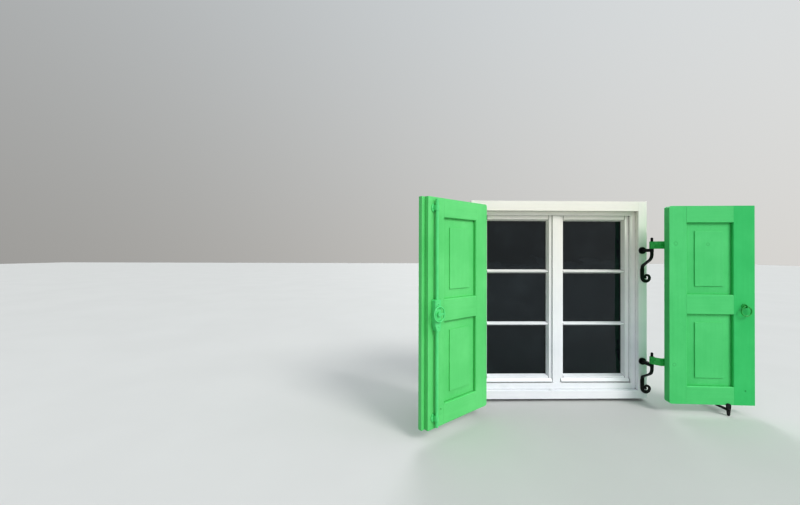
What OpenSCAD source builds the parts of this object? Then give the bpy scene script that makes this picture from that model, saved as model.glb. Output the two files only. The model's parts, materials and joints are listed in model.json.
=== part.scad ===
// Pair of panelled window shutters on cranked strap hinges, with the window that they close.
// The origin is the centre of the underside of the frame: X across, Y into the wall, Z up.
// Leaves are drawn closed, in U (from the hinge pin to the meeting edge), W (towards the window)
// and Z, and are then turned about their pins to the pose that they rest in.

/* [Window frame] */
// Overall width of the frame
frame_w = 968; // [860:2:1200]
// Overall height of the frame
frame_h = 1080; // [960:5:1400]
// Depth of the frame members, front to back
frame_depth = 86; // [80:1:110]
// Depth of the outer recess behind the closed leaves
recess_depth = 25; // [22:1:30]
// Thickness of the stop band that the sashes close against
stop_t = 15; // [12:1:20]
// Width of a jamb at the front
jamb_face = 46; // [38:1:60]
// Width of a jamb at the stop band
jamb_stop = 73; // [66:1:90]
// Width of a jamb beside the sash
jamb_seat = 60; // [50:1:64]
// Height of the head at the front
head_face = 53; // [46:1:60]
// Height of the head at the stop band
head_stop = 75; // [68:1:90]
// Height of the head above the sash
head_seat = 62; // [54:1:66]
// Height of the sill at the front
sill_face = 43; // [38:1:60]
// Height of the sill at the stop band
sill_stop = 79; // [72:1:95]
// Outward fall of the top of the sill
sill_fall = 4; // [0:1:8]
// Height of the sill under the sash
sill_seat = 66; // [56:1:70]
// Width of the fixed mullion at its front lap
mullion_w = 44; // [36:1:56]
// Thickness of the mullion's front lap
mullion_lap_t = 7; // [5:1:10]
// Thickness of the mullion's web between the sashes
mullion_web = 18; // [14:1:26]
// Radius of the fixing holes through the jambs
fixing_r = 5; // [3:0.5:6]
// Height of the lower fixing holes
fixing_low_z = 270; // [200:5:320]
// Distance between the two fixing holes of a jamb
fixing_spacing = 540; // [400:5:600]

/* [Sashes] */
// Gap round each sash
sash_gap = 2; // [1:0.5:3]
// Gap between a sash and the stop band
sash_stop_gap = 0.5; // [0.3:0.1:1]
// Width of the hinge stile to the sight line
sash_hinge_stile_w = 42; // [36:1:56]
// Width of the meeting stile to the sight line
sash_meeting_stile_w = 37; // [34:1:50]
// Height of the top rail to the sight line
sash_top_rail_h = 41; // [34:1:56]
// Height of the bottom rail to the sight line
sash_bottom_rail_h = 49; // [38:1:70]
// Width of the putty bevel round the panes
putty_w = 9; // [6:0.5:10]
// Depth of the glass behind the front of the sash
glass_set = 25.5; // [20:0.5:30]
// Thickness of the glass
glass_t = 4; // [3:1:6]
// Depth of the groove that holds the glass
glass_groove = 6; // [4:0.5:7]
// Play of the glass in its groove
glass_play = 0.5; // [0:0.1:1]
// Width of a glazing bar
bar_w = 22; // [20:1:30]
// Number of panes in a sash
panes = 3; // [2:1:4]
// Chamfer on the inner edges round the panes
sash_chamfer = 3; // [1:0.5:4]

/* [Sash hinges] */
// Radius of the knuckles
sash_knuckle_r = 7; // [6:0.5:8]
// Height of one knuckle
sash_knuckle_h = 40; // [30:1:60]
// Radius of the hinge pin
sash_pin_r = 3; // [2:0.5:4]
// Distance of the pin beyond the seat of the sash
sash_pin_set = 6; // [6:0.5:8]
// Width of a hinge wing
wing_w = 28; // [20:1:36]
// Thickness of a hinge wing
wing_t = 2; // [1.5:0.5:3]
// Distance of a hinge from the end of the sash
sash_hinge_inset = 120; // [80:5:200]

/* [Shutter leaves] */
// Height of a leaf
leaf_h = 1000; // [900:5:1020]
// Thickness of a leaf
leaf_t = 38; // [34:1:42]
// Height of the lower edge of the leaves above the foot of the frame
leaf_bottom = 35; // [33:1:45]
// Distance of the hinge edge from the pin
leaf_set = 39; // [38:1:44]
// Gap between a closed leaf and the frame
leaf_face_gap = 1; // [1:0.5:3]
// Width of the hinge stile
hinge_stile_w = 86; // [70:1:110]
// Width of the meeting stile
meeting_stile_w = 102; // [100:1:114]
// Height of the top rail
top_rail_h = 85; // [70:1:120]
// Height of the middle rail
mid_rail_h = 100; // [70:1:140]
// Height of the bottom rail
bottom_rail_h = 90; // [70:1:140]
// Radius of the small hole near the foot of each meeting stile
peg_hole_r = 3; // [2:0.5:4]
// Depth of the small hole
peg_hole_depth = 14; // [8:1:20]
// Height of the small hole above the lower edge
peg_hole_z = 72; // [40:1:100]
// Distance of the small hole from the meeting edge of the right leaf
peg_hole_inset = 45; // [30:1:80]
// Distance of the small hole from the rod on the left leaf
peg_hole_rod_gap = 40; // [30:1:42]
// Radius of the rounded corners on the hinge side
corner_r = 11; // [4:1:20]
// Chamfer on the edges round the panels
arris_w = 3; // [1:0.5:5]
// Gap between the meeting edges on the window side
meeting_gap = 16; // [14:0.5:18]
// Reach of the left leaf's lip past the middle
lip_reach = 11; // [10:0.5:12]
// Clearance of the lip in the right leaf's rebate
lip_clear = 3; // [2:0.5:5]
// Gap behind the lip
lip_gap = 1; // [0.6:0.1:2]

/* [Panels] */
// Width of the bevel round the raised field
panel_margin = 42; // [25:1:55]
// Depth of the raised field below the face of the stiles
field_set = 6; // [4:0.5:7]
// Height of the step round the raised field
field_step = 4; // [2:0.5:4]
// Thickness of the tongue in the groove
tongue_t = 10; // [6:0.5:10]
// Depth of the groove in stiles and rails
groove_depth = 8; // [6:0.5:12]
// Play of a panel at the bottom of its groove
panel_play = 0.5; // [0:0.1:1]

/* [Strap hinges] */
// Distance of the hinge pin in front of the frame
pin_reach = 75; // [72:1:90]
// Distance of the pin from the side of the frame
pin_inset = 27; // [22:1:36]
// Radius of the pin
pin_r = 6; // [5:0.5:7]
// Clearance of the pin in its barrel
pin_clear = 0.08; // [0.04:0.01:0.1]
// Outer radius of the barrel
barrel_r = 11; // [10:0.5:13]
// Width of a strap
strap_w = 38; // [30:1:50]
// Thickness of a strap
strap_t = 5; // [4:0.5:6]
// Length of a strap on the leaf
strap_l = 300; // [220:5:340]
// Distance of a strap's middle from the end of the leaf
strap_inset = 197; // [190:1:240]
// Slope of the crank between the strap and its barrel
crank_angle = 45; // [40:1:50]
// Radius of a strap screw's head
strap_screw_r = 6; // [4:0.5:8]
// Height of a strap screw's head
strap_screw_h = 2.5; // [2:0.5:4]

/* [Pintles] */
// Radius of the boss on the frame
boss_r = 18; // [14:1:22]
// Thickness of the boss
boss_t = 8; // [5:1:12]
// Width of the arm from the boss to the pin
arm_w = 17; // [14:1:18]
// Height of the arm
arm_h = 16; // [12:1:18]
// Gap between the arm and the barrel that rests on it
barrel_clear = 0.2; // [0.1:0.1:0.3]
// Length of the pin that stands above the barrel
pin_proud = 18; // [5:1:30]
// Width of the brace
brace_w = 13; // [10:1:16]
// Thickness of the brace
brace_t = 8; // [6:1:10]
// Straight drop of the brace under the pin
brace_drop = 12; // [6:1:20]
// Radius of the bend at the head of the brace
brace_head_r = 40; // [30:1:48]
// Radius of the bend at the foot of the brace
brace_foot_r = 18; // [10:1:24]
// Angle that the brace bends through
brace_angle = 60; // [55:1:70]
// Width of the stem under the brace
stem_w = 19; // [16:1:22]
// Length of the stem down to the scroll
stem_l = 53; // [46:1:64]
// Radius of the scroll to the middle of the bar
scroll_r = 22; // [20:1:24]
// Radius of the eye that ends the scroll
scroll_eye_r = 5.5; // [5:0.5:6]
// Width of the bar of the scroll where it starts
scroll_w = 17; // [14:0.5:17]
// Thickness of the scroll
scroll_t = 5; // [4:0.5:6]
// Radius of the heads of the pintle screws
pintle_screw_r = 4.5; // [4:0.5:5]
// Height of the heads of the pintle screws
pintle_screw_h = 2; // [1.5:0.5:3]

/* [Bolt] */
// Radius of the rods
rod_r = 7; // [5:0.5:8]
// Distance of the rods from the meeting edge
rod_inset = 40; // [38:1:50]
// Distance of the rods' axis in front of the leaf
rod_stand = 14; // [13:0.5:16]
// Travel of each rod
rod_travel = 16; // [10:1:18]
// Gap between a drawn rod and the frame
rod_end_gap = 2; // [1:0.5:4]
// Radius of the bores that take the rods
bolt_bore_r = 7.5; // [7.2:0.1:9]
// Spare depth of the bores past a shot rod
bolt_bore_spare = 5; // [3:1:8]
// Running clearance of the rods, the spindle and the rings in their bores
run_clear = 0.08; // [0.04:0.01:0.1]
// Width of a keeper's plate
keeper_w = 44; // [36:1:50]
// Height of a keeper
keeper_h = 36; // [24:1:44]
// Thickness of a keeper's plate
keeper_t = 3; // [2:0.5:5]
// Wall of a keeper's bow over the rod
keeper_wall = 2; // [1.5:0.5:3]
// Distance of a keeper from the end of the rod
keeper_inset = 20; // [18:1:40]
// Height of the spindle above the lower edge of the leaf
spindle_height = 495; // [440:5:560]
// Radius of the spindle
spindle_r = 5; // [4:0.5:6]
// Length of the case above the spindle
case_up = 62; // [50:1:80]
// Length of the case below the spindle
case_down = 73; // [60:1:90]
// Width of the case
case_w = 36; // [30:1:44]
// Depth of the case
case_d = 24; // [23:0.5:28]
// Radius of the upper corners of the case
case_corner_r = 6; // [3:1:10]
// Length of the taper at the foot of the case
case_taper = 26; // [15:1:35]
// Bevel on the front edges of the case
case_bevel = 3; // [1:0.5:4]
// Radius of the rose round the spindle
rose_r = 10; // [8:0.5:12]
// Gap between the case and the turning pieces in front of it
case_clear = 0.5; // [0.3:0.1:1]
// Distance of the ring's pivot from the spindle
lug_arm = 28; // [22:1:28]
// Radius of the lug that holds the ring
lug_r = 5; // [4.5:0.5:6]
// Height of the lug
lug_h = 12; // [8:1:14]
// Width of the crank's arm
crank_w = 9; // [6:1:12]
// Radius of the bolt's ring to the middle of the wire
bolt_ring_r = 32; // [31:1:36]
// Radius of the wire of both rings
wire_r = 3; // [2.5:0.5:3.5]

/* [Ring pull] */
// Radius of the ring to the middle of the wire
pull_ring_r = 24; // [18:1:30]
// Distance of the ring pull from the meeting edge
pull_inset = 51; // [34:1:60]
// Height of the eye above the lower edge of the leaf
pull_height = 496; // [440:1:560]
// Distance of the eye's middle in front of the leaf
eye_stand = 14; // [13:0.5:20]
// Play of the ring in the eye
eye_play = 0.4; // [0.2:0.1:1]
// Radius of the eye's wire
eye_wire_r = 2.4; // [2:0.1:3]
// Radius of the rose behind the eye
eye_rose_r = 12; // [9:0.5:16]
// Thickness of the rose behind the eye
eye_rose_t = 2; // [1.5:0.5:3]

/* [Shutter dog] */
// Distance of the dog from the middle of the window
dog_x = 770; // [740:5:800]
// Distance of the shank below the leaf
dog_drop = 23; // [16:1:30]
// Radius of the shank
dog_shank_r = 6; // [5:0.5:8]
// Length of the spike that is driven into the wall
dog_spike_l = 60; // [40:5:90]
// Width of the catch
dog_w = 23; // [18:1:28]
// Thickness of the catch
dog_t = 6; // [4:0.5:8]
// Height of the catch above the shank
dog_up = 32; // [30:1:40]
// Length of the catch below the shank
dog_down = 28; // [20:1:40]
// Gap between the catch and the leaf
dog_gap = 0.3; // [0.2:0.1:1]

/* [Rest pose] */
// Angle that the left leaf stands open
left_open = 141.1; // [100:0.1:170]
// Angle that the right leaf stands open
right_open = 175.8; // [174:0.1:177]

/* [Hidden] */
$fn = 64;
left = -1;
right = 1;
// Overrun of cuts past the surfaces that they open
over = 1;
full_turn = 360;
half_turn = 180;
quarter_turn = 90;

green_paint = [0.37, 0.80, 0.47];
white_paint = [0.88, 0.89, 0.88];
black_iron = [0.08, 0.08, 0.09];
glass_tint = [0.25, 0.29, 0.32, 0.6];

front_y = -frame_depth / 2;
back_y = frame_depth / 2;
stop_back = recess_depth + stop_t;

leaf_top = leaf_bottom + leaf_h;
pin_x = frame_w / 2 - pin_inset;
pin_y = front_y - pin_reach;
// Faces and edges of a closed leaf, measured from its pin
face_in = pin_reach - leaf_face_gap;
face_out = face_in - leaf_t;
leaf_edge = pin_x - meeting_gap / 2;
leaf_w = leaf_edge - leaf_set;
opening_h = (leaf_h - top_rail_h - mid_rail_h - bottom_rail_h) / 2;
opening_w = leaf_w - hinge_stile_w - meeting_stile_w;
opening_u = leaf_set + hinge_stile_w;
opening_low = leaf_bottom + bottom_rail_h;
opening_high = opening_low + opening_h + mid_rail_h;
strap_low = leaf_bottom + strap_inset;
strap_high = leaf_top - strap_inset;

// Seat of the sashes in the frame
sash_low = sill_seat + sash_gap;
sash_high = frame_h - head_seat - sash_gap;
sash_out = frame_w / 2 - jamb_seat - sash_gap;
sash_in = mullion_web / 2 + sash_gap;
sash_w = sash_out - sash_in;
sash_front = front_y + stop_back + sash_stop_gap;
sash_t = back_y - sash_front;
sight_low = sash_low + sash_bottom_rail_h;
sight_high = sash_high - sash_top_rail_h;
pane_h = (sight_high - sight_low - (panes - 1) * bar_w) / panes;
sight_w = sash_w - sash_hinge_stile_w - sash_meeting_stile_w;
sash_pin_x = frame_w / 2 - jamb_seat + sash_pin_set;
sash_knuckle_gap = sash_stop_gap;
sash_pin_y = back_y + sash_knuckle_r + sash_knuckle_gap;

// The bolt's axes in the closed left leaf
rod_u = leaf_edge - rod_inset;
rod_w = face_in + rod_stand;
rod_x = rod_u - pin_x;
rod_y = pin_y + rod_w;
rod_top = frame_h - head_face - rod_end_gap;
rod_foot = sill_face + rod_end_gap;
bolt_bore_depth = rod_travel + bolt_bore_spare;
spindle_z = leaf_bottom + spindle_height;
ring_w = face_in + case_d + case_clear + lug_r;
pull_u = leaf_edge - pull_inset;
pull_z = leaf_bottom + pull_height;
eye_w = face_in + eye_stand;
eye_hole_r = wire_r + eye_play;
dog_z = leaf_bottom - dog_drop;

// A solid drawn in two directions and as long as it needs to be along the third
module along_u(length) {
    mirror([1, 0, 0])
        rotate([0, -quarter_turn, 0])
            linear_extrude(height = length)
                children();
}

module along_w(length) {
    mirror([0, 1, 0])
        rotate([quarter_turn, 0, 0])
            linear_extrude(height = length)
                children();
}

// A leaf's pieces, turned about the pin from the closed place to the resting one
module leaf_at_rest(side) {
    angle = side == left ? -left_open : right_open;
    translate([side * pin_x, pin_y, 0])
        rotate([0, 0, angle])
            mirror([side == right ? 1 : 0, 0, 0])
                children();
}

// The same pieces for both sides of the window
module on_side(side) {
    mirror([side == left ? 1 : 0, 0, 0])
        children();
}

function reversed(points) = [for (i = [len(points) - 1:-1:0]) points[i]];

// Outline of a frame member: depth first, then the width at the front, the stop band and the seat
function member_outline(face, stop, seat, fall) = [
    [front_y, 0],
    [back_y, 0],
    [back_y, seat],
    [front_y + stop_back, seat],
    [front_y + stop_back, stop],
    [front_y + recess_depth, stop - fall],
    [front_y + recess_depth, face],
    [front_y, face]
];

module jamb_bar() {
    linear_extrude(height = frame_h)
        polygon([for (p = member_outline(jamb_face, jamb_stop, jamb_seat, 0)) [frame_w / 2 - p[1], p[0]]]);
}

module head_bar() {
    translate([-frame_w / 2, 0, 0])
        along_u(frame_w)
            polygon([for (p = member_outline(head_face, head_stop, head_seat, 0)) [frame_h - p[1], p[0]]]);
}

module sill_bar() {
    translate([-frame_w / 2, 0, 0])
        along_u(frame_w)
            polygon([for (p = member_outline(sill_face, sill_stop, sill_seat, sill_fall)) [p[1], p[0]]]);
}

module frame_jamb(side) {
    seat_y = (front_y + stop_back + back_y) / 2;
    color(white_paint)
        on_side(side)
            difference() {
                jamb_bar();
                for (z = [fixing_low_z, fixing_low_z + fixing_spacing])
                    translate([frame_w / 2 - jamb_seat - over, seat_y, z])
                        rotate([0, quarter_turn, 0])
                            cylinder(r = fixing_r, h = jamb_seat + 2 * over);
            }
}

module frame_head() {
    color(white_paint)
        difference() {
            head_bar();
            on_side(left) jamb_bar();
            on_side(right) jamb_bar();
            translate([rod_x, rod_y, frame_h - head_face - over])
                cylinder(r = bolt_bore_r, h = bolt_bore_depth + over);
        }
}

module frame_sill() {
    color(white_paint)
        difference() {
            sill_bar();
            on_side(left) jamb_bar();
            on_side(right) jamb_bar();
            translate([rod_x, rod_y, sill_face - bolt_bore_depth])
                cylinder(r = bolt_bore_r, h = bolt_bore_depth + over);
        }
}

module frame_mullion() {
    lap_y = front_y + stop_back - mullion_lap_t;
    color(white_paint)
        difference() {
            translate([0, 0, sill_face])
                linear_extrude(height = frame_h - head_face - sill_face)
                    polygon([
                        [-mullion_w / 2, lap_y],
                        [mullion_w / 2, lap_y],
                        [mullion_w / 2, lap_y + mullion_lap_t],
                        [mullion_web / 2, lap_y + mullion_lap_t],
                        [mullion_web / 2, back_y],
                        [-mullion_web / 2, back_y],
                        [-mullion_web / 2, lap_y + mullion_lap_t],
                        [-mullion_w / 2, lap_y + mullion_lap_t]
                    ]);
            head_bar();
            sill_bar();
        }
}

// A domed screw head on the XY plane: a slice of a ball
module domed_head(r, h) {
    ball_r = (r * r + h * h) / (2 * h);
    intersection() {
        translate([0, 0, h - ball_r]) sphere(r = ball_r);
        translate([-r, -r, 0]) cube([2 * r, 2 * r, h]);
    }
}

// Side view of the brace, as distances from the frame and heights below the arm's top
brace_steps = 12;
brace_half = brace_t / 2;
brace_head_z = -arm_h - brace_drop;
brace_run = pin_reach - brace_half - (brace_head_r + brace_foot_r) * (1 - cos(brace_angle));
brace_foot_z = brace_head_z - (brace_head_r + brace_foot_r) * sin(brace_angle) - brace_run / tan(brace_angle);
function brace_head_arc(r) = [
    for (i = [0:brace_steps])
        let (a = brace_angle * i / brace_steps)
            [pin_reach - brace_head_r + r * cos(a), brace_head_z - r * sin(a)]
];
function brace_foot_arc(r) = [
    for (i = [brace_steps:-1:0])
        let (a = brace_angle * i / brace_steps)
            [brace_half + brace_foot_r - r * cos(a), brace_foot_z + r * sin(a)]
];
function brace_points() = concat(
    [[pin_reach + brace_half, -arm_h / 2]],
    brace_head_arc(brace_head_r + brace_half),
    brace_foot_arc(brace_foot_r - brace_half),
    [[brace_t, brace_foot_z - brace_t], [0, brace_foot_z - brace_t]],
    reversed(brace_foot_arc(brace_foot_r + brace_half)),
    reversed(brace_head_arc(brace_head_r - brace_half)),
    [[pin_reach - brace_half, -arm_h / 2]]
);

// The scroll winds one turn in from the stem: its radius falls slowly, then fast
scroll_steps = 40;
scroll_end_share = 0.22;
scroll_end_w_share = 0.5;
function scroll_edge(sign) = [
    for (i = [0:scroll_steps])
        let (
            t = i / scroll_steps,
            a = half_turn + full_turn * t,
            r = scroll_r * (1 - (1 - scroll_end_share) * t * t),
            half_w = scroll_w / 2 * (1 - (1 - scroll_end_w_share) * t)
        )
            [(r + sign * half_w) * cos(a), (r + sign * half_w) * sin(a)]
];

module scroll_outline() {
    polygon(concat(scroll_edge(1), reversed(scroll_edge(-1))));
    translate([-scroll_r * scroll_end_share, 0])
        circle(r = scroll_eye_r);
}

module stem_outline() {
    translate([0, stem_l - stem_w / 2])
        circle(r = stem_w / 2);
    polygon([
        [-stem_w / 2, stem_l - stem_w / 2],
        [-scroll_w / 2, 0],
        [scroll_w / 2, 0],
        [stem_w / 2, stem_l - stem_w / 2]
    ]);
}

// One forging: boss, arm, pin, brace, stem and scroll. Its origin is on the frame, under the barrel
module pintle(side, strap_z) {
    color(black_iron)
        on_side(side)
            translate([pin_x, front_y, strap_z - strap_w / 2 - barrel_clear]) {
                translate([0, 0, -arm_h / 2])
                    rotate([quarter_turn, 0, 0])
                        cylinder(r = boss_r, h = boss_t);
                translate([-arm_w / 2, -pin_reach, -arm_h])
                    cube([arm_w, pin_reach, arm_h]);
                translate([0, -pin_reach, -arm_h]) {
                    cylinder(r = arm_w / 2, h = arm_h);
                    cylinder(r = pin_r, h = arm_h + barrel_clear + strap_w + pin_proud);
                    translate([0, 0, arm_h + barrel_clear + strap_w + pin_proud])
                        cylinder(r1 = pin_r, r2 = pin_r / 2, h = pin_r / 2);
                }
                translate([-brace_w / 2, 0, 0])
                    along_u(brace_w)
                        polygon([for (p = brace_points()) [p[1], -p[0]]]);
                translate([0, -scroll_t, brace_foot_z - stem_l])
                    along_w(scroll_t) {
                        stem_outline();
                        translate([scroll_r, 0]) scroll_outline();
                    }
            }
}

module pintle_screws() {
    quarter = 0.25;
    low_r = scroll_r * (1 - (1 - scroll_end_share) * quarter * quarter);
    color(black_iron)
        for (side = [left, right], strap_z = [strap_low, strap_high])
            on_side(side)
                translate([pin_x, front_y - scroll_t, strap_z - strap_w / 2 - barrel_clear + brace_foot_z]) {
                    translate([0, 0, -stem_w])
                        rotate([quarter_turn, 0, 0]) domed_head(pintle_screw_r, pintle_screw_h);
                    translate([scroll_r, 0, -stem_l - low_r])
                        rotate([quarter_turn, 0, 0]) domed_head(pintle_screw_r, pintle_screw_h);
                }
}

// Half of a board's section at one edge: plain, or chamfered and grooved for a panel
function board_edge(at, out, grooved) = grooved ? [
    [at - out * arris_w, 0],
    [at, arris_w],
    [at, (leaf_t - tongue_t) / 2],
    [at - out * groove_depth, (leaf_t - tongue_t) / 2],
    [at - out * groove_depth, (leaf_t + tongue_t) / 2],
    [at, (leaf_t + tongue_t) / 2],
    [at, leaf_t - arris_w],
    [at - out * arris_w, leaf_t]
] : [[at, 0], [at, leaf_t]];

function board_section(low, high, groove_low, groove_high) =
    concat(board_edge(high, 1, groove_high), reversed(board_edge(low, -1, groove_low)));

module hinge_stile_bar() {
    difference() {
        translate([0, face_out, leaf_bottom])
            linear_extrude(height = leaf_h)
                polygon(board_section(leaf_set, opening_u, false, true));
        for (z = [leaf_bottom, leaf_top])
            translate([leaf_set, face_out - over, z])
                mirror([0, 0, z == leaf_top ? 1 : 0])
                    along_w(leaf_t + 2 * over)
                        difference() {
                            translate([-over, -over]) square(corner_r + over);
                            translate([corner_r, corner_r]) circle(r = corner_r);
                        }
    }
}

module meeting_stile_bar(side) {
    inner = opening_u + opening_w;
    half_t = leaf_t / 2;
    lip_past = lip_reach + meeting_gap / 2;
    rebate = lip_reach + lip_clear - meeting_gap / 2;
    translate([0, face_out, leaf_bottom])
        linear_extrude(height = leaf_h)
            if (side == left) {
                polygon(board_section(inner, leaf_edge, true, false));
                translate([leaf_edge - over, 0])
                    square([lip_past + over, half_t - lip_gap / 2]);
            } else
                difference() {
                    polygon(board_section(inner, leaf_edge, true, false));
                    translate([leaf_edge - rebate, -over])
                        square([rebate + over, half_t + lip_gap / 2 + over]);
                }
}

module leaf_hinge_stile(side) {
    color(green_paint) leaf_at_rest(side) hinge_stile_bar();
}

module leaf_meeting_stile(side) {
    peg_hole_u = side == left ? rod_u - peg_hole_rod_gap : leaf_edge - peg_hole_inset;
    color(green_paint)
        leaf_at_rest(side)
            difference() {
                meeting_stile_bar(side);
                translate([peg_hole_u, face_in - peg_hole_depth, leaf_bottom + peg_hole_z])
                    rotate([-quarter_turn, 0, 0])
                        cylinder(r = peg_hole_r, h = peg_hole_depth + over);
            }
}

// A rail runs into the grooves of both stiles, where its end is the tenon
module leaf_rail(side, low, high, groove_low, groove_high) {
    color(green_paint)
        leaf_at_rest(side)
            difference() {
                translate([opening_u - groove_depth, face_out, 0])
                    along_u(opening_w + 2 * groove_depth)
                        polygon(board_section(low, high, groove_low, groove_high));
                hinge_stile_bar();
                meeting_stile_bar(side);
            }
}

module top_rail(side) {
    leaf_rail(side, leaf_top - top_rail_h, leaf_top, true, false);
}

module mid_rail(side) {
    leaf_rail(side, opening_low + opening_h, opening_high, true, true);
}

module bottom_rail(side) {
    leaf_rail(side, leaf_bottom, opening_low, false, true);
}

// Section of a raised and fielded panel, from tongue to tongue, for an opening of this length
function panel_half(length) =
    let (
        field = leaf_t / 2 - field_set,
        foot = tongue_t / 2,
        tongue = groove_depth - panel_play
    )
        [
            [-tongue, foot],
            [0, foot],
            [panel_margin, field - field_step],
            [panel_margin, field],
            [length - panel_margin, field],
            [length - panel_margin, field - field_step],
            [length, foot],
            [length + tongue, foot]
        ];

function panel_section(length) =
    let (half = panel_half(length))
        concat(half, reversed([for (p = half) [p[0], -p[1]]]));

module leaf_panel(side, low) {
    color(green_paint)
        leaf_at_rest(side)
            translate([opening_u, face_out + leaf_t / 2, low])
                intersection() {
                    translate([0, 0, -groove_depth + panel_play])
                        linear_extrude(height = opening_h + 2 * (groove_depth - panel_play))
                            polygon(panel_section(opening_w));
                    translate([-groove_depth + panel_play, 0, 0])
                        along_u(opening_w + 2 * (groove_depth - panel_play))
                            polygon(panel_section(opening_h));
                }
}

// Section of the crank: it leaves the barrel along a tangent and ends flush under the strap
module crank_section() {
    c = cos(crank_angle);
    s = sin(crank_angle);
    inner_r = barrel_r - strap_t;
    upper_run = (face_out - barrel_r * c) / s;
    lower_run = (face_out - strap_t - inner_r * c) / s;
    circle(r = barrel_r);
    polygon([
        [-barrel_r * s, barrel_r * c],
        [upper_run * c - barrel_r * s, face_out],
        [leaf_set + strap_w / 2, face_out],
        [leaf_set + strap_w / 2, face_out - strap_t],
        [lower_run * c - inner_r * s, face_out - strap_t],
        [-inner_r * s, inner_r * c]
    ]);
}

module leaf_strap(side, strap_z) {
    color(green_paint)
        leaf_at_rest(side)
            difference() {
                union() {
                    translate([0, 0, strap_z - strap_w / 2])
                        linear_extrude(height = strap_w)
                            crank_section();
                    translate([leaf_set, face_out - strap_t, strap_z])
                        along_w(strap_t) {
                            translate([0, -strap_w / 2])
                                square([strap_l - strap_w / 2, strap_w]);
                            translate([strap_l - strap_w / 2, 0])
                                circle(r = strap_w / 2);
                        }
                }
                translate([0, 0, strap_z - strap_w / 2 - over])
                    cylinder(r = pin_r + pin_clear, h = strap_w + 2 * over);
            }
}

module strap_screws(side) {
    screw_shares = [0.1, 0.52, 0.93];
    color(green_paint)
        leaf_at_rest(side)
            for (strap_z = [strap_low, strap_high], share = screw_shares)
                translate([leaf_set + strap_l * share, face_out - strap_t, strap_z])
                    rotate([quarter_turn, 0, 0])
                        domed_head(strap_screw_r, strap_screw_h);
}

// A saddle over the rod: a plate on the leaf with a bow that the rod slides through
module keeper(low) {
    bow_r = rod_r + keeper_wall;
    corner = (keeper_w - 2 * bow_r) / 2;
    color(green_paint)
        leaf_at_rest(left)
            difference() {
                union() {
                    translate([rod_u, face_in, low])
                        along_w(keeper_t)
                            intersection() {
                                translate([-keeper_w / 2, 0]) square([keeper_w, keeper_h]);
                                translate([0, keeper_h / 2]) circle(r = keeper_w / 2);
                            }
                    translate([rod_u, 0, low + corner / 2])
                        linear_extrude(height = keeper_h - corner) {
                            translate([-bow_r, face_in]) square([2 * bow_r, rod_stand]);
                            translate([0, rod_w]) circle(r = bow_r);
                        }
                }
                translate([rod_u, rod_w, low - over])
                    cylinder(r = rod_r + run_clear, h = keeper_h + 2 * over);
            }
}

// Distance from the spindle to the bores that take the rods
rod_core = 2 * spindle_r;

module bolt_case() {
    foot_w = 2 * (rod_r + keeper_wall);
    bore_up = case_up - rod_core + over;
    bore_down = case_down - rod_core + over;
    spindle_bore = case_d - keeper_t + over;
    color(green_paint)
        leaf_at_rest(left)
            translate([rod_u, face_in, spindle_z])
                difference() {
                    intersection() {
                        along_w(case_d) {
                            polygon([
                                [-foot_w / 2, -case_down],
                                [foot_w / 2, -case_down],
                                [case_w / 2, case_taper - case_down],
                                [case_w / 2, case_up - case_corner_r],
                                [-case_w / 2, case_up - case_corner_r],
                                [-case_w / 2, case_taper - case_down]
                            ]);
                            translate([case_corner_r - case_w / 2, 0])
                                square([case_w - 2 * case_corner_r, case_up]);
                            for (x = [case_corner_r - case_w / 2, case_w / 2 - case_corner_r])
                                translate([x, case_up - case_corner_r]) circle(r = case_corner_r);
                        }
                        translate([0, 0, -case_down])
                            linear_extrude(height = case_up + case_down)
                                polygon([
                                    [-case_w / 2, 0],
                                    [case_w / 2, 0],
                                    [case_w / 2, case_d - case_bevel],
                                    [case_w / 2 - case_bevel, case_d],
                                    [case_bevel - case_w / 2, case_d],
                                    [-case_w / 2, case_d - case_bevel]
                                ]);
                    }
                    translate([0, rod_stand, rod_core])
                        cylinder(r = rod_r + run_clear, h = bore_up);
                    translate([0, rod_stand, -case_down - over])
                        cylinder(r = rod_r + run_clear, h = bore_down);
                    translate([0, keeper_t, 0])
                        rotate([-quarter_turn, 0, 0])
                            cylinder(r = spindle_r + run_clear, h = spindle_bore);
                }
}

// Screws of the case and of both keepers
module bolt_screws() {
    place_share = 0.72;
    plate_x = (keeper_w / 2 + rod_r + keeper_wall) / 2;
    color(green_paint)
        leaf_at_rest(left) {
            for (z = [spindle_z + case_up * place_share, spindle_z - case_down * place_share])
                translate([rod_u, face_in + case_d, z])
                    rotate([-quarter_turn, 0, 0]) domed_head(pintle_screw_r, pintle_screw_h);
            for (z = [rod_top - keeper_inset - keeper_h / 2, rod_foot + keeper_inset + keeper_h / 2])
                for (x = [-plate_x, plate_x])
                    translate([rod_u + x, face_in + keeper_t, z])
                        rotate([-quarter_turn, 0, 0]) domed_head(pintle_screw_r, pintle_screw_h);
        }
}

module rod(low, high) {
    color(green_paint)
        leaf_at_rest(left)
            translate([rod_u, rod_w, low])
                cylinder(r = rod_r, h = high - low);
}

module upper_rod() {
    rod(spindle_z + rod_core + case_clear, rod_top);
}

module lower_rod() {
    rod(rod_foot, spindle_z - rod_core - case_clear);
}

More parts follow.
